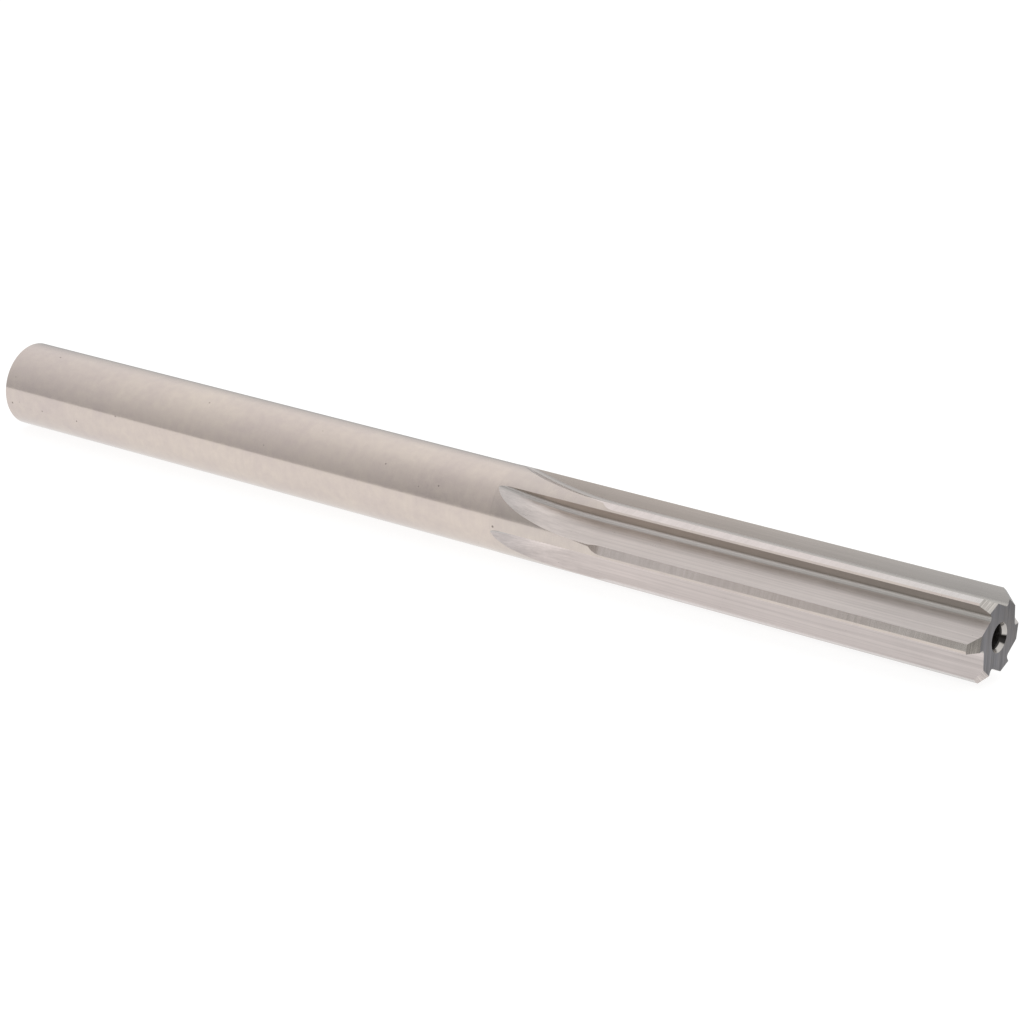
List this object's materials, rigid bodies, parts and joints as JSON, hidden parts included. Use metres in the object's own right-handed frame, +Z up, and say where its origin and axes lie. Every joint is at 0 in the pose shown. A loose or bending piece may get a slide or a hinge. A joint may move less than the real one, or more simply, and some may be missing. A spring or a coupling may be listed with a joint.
{
  "type": "machine reamer",
  "caption": "Straight-shank machine reamer with straight flutes, a chamfered cutting tip and a centre hole in each end, for finishing drilled holes to size.",
  "frame": {"origin": "middle of the tool's length, on the surface it lies on, straight under the tool's axis", "axes": "+X along the tool's axis towards the cutting tip, +Z up, +Y to the left seen along +X"},
  "size_m": [0.133, 0.01, 0.01],
  "materials": {
    "ground_steel": "ground"
  },
  "bodies": {
    "root": {"reamer": "ground_steel"}
  },
  "joints": []
}
